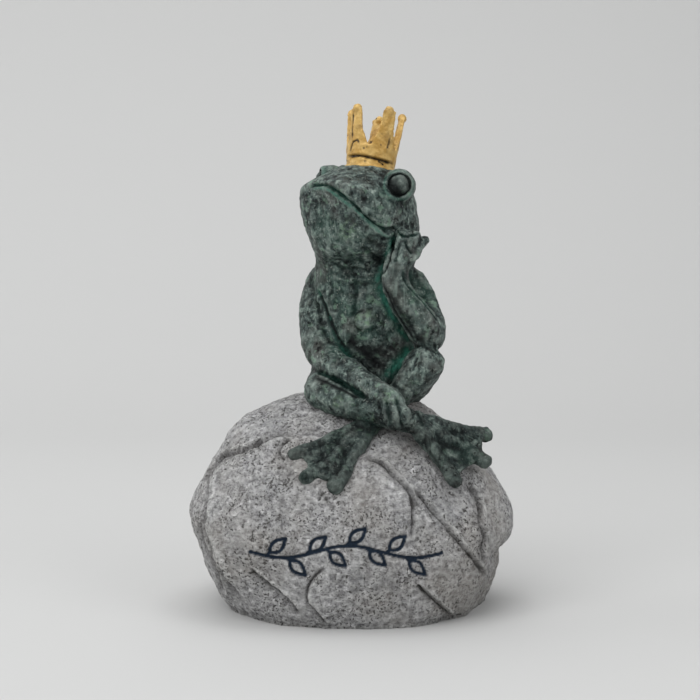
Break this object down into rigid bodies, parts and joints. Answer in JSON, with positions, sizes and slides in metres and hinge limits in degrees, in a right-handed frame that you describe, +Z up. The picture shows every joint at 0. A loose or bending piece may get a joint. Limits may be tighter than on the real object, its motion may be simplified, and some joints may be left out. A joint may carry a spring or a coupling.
{
  "type": "frog garden ornament",
  "caption": "Crowned frog sitting cross-legged on a boulder, chin propped on one hand; a painted cast-resin garden ornament that stands on its flat underside.",
  "frame": {"origin": "middle of the bounding box at the boulder's flat underside", "axes": "+Z up from the underside to the crown, -Y towards the side of the boulder that faces the viewer, +X to the viewer's right"},
  "size_m": [0.1607, 0.126, 0.2499],
  "materials": {
    "stone_resin": "matt grey stone paint on cast resin, pitted",
    "bronze_green_resin": "dark verdigris bronze paint on cast resin, satin",
    "gold_resin": "antique gold paint with dark recesses on cast resin",
    "pin_steel": "plain cut rod, hidden in the castings"
  },
  "bodies": {
    "root": {"rock_base": "stone_resin", "torso": "bronze_green_resin", "head": "bronze_green_resin", "left_arm": "bronze_green_resin", "right_arm": "bronze_green_resin", "left_leg": "bronze_green_resin", "right_leg": "bronze_green_resin", "left_foot": "bronze_green_resin", "right_foot": "bronze_green_resin", "crown": "gold_resin", "seat_rod": "pin_steel", "neck_dowel": "pin_steel", "shoulder_pins": "pin_steel", "hip_pins": "pin_steel"}
  },
  "joints": []
}
